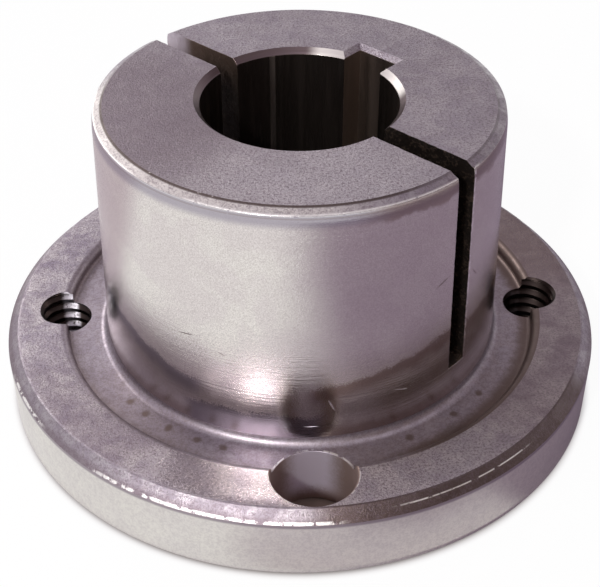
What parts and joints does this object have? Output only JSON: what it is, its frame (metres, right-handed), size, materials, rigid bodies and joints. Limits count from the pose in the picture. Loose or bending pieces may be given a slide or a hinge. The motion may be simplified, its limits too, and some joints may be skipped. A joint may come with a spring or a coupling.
{
  "type": "split taper bushing",
  "caption": "Split taper bushing: a round flange with screw holes carries a slotted, tapered barrel with a keyed bore, for clamping a hub to a shaft.",
  "frame": {"origin": "centre of the bore at the flange's outer face", "axes": "+Z along the bore from the flange to the small end of the taper, +X through a tapped hole, +Y through a clearance hole"},
  "size_m": [0.0636, 0.0636, 0.0333],
  "materials": {
    "steel": "satin sintered steel, smoother on the tapered barrel"
  },
  "bodies": {
    "root": {"bushing": "steel"}
  },
  "joints": []
}
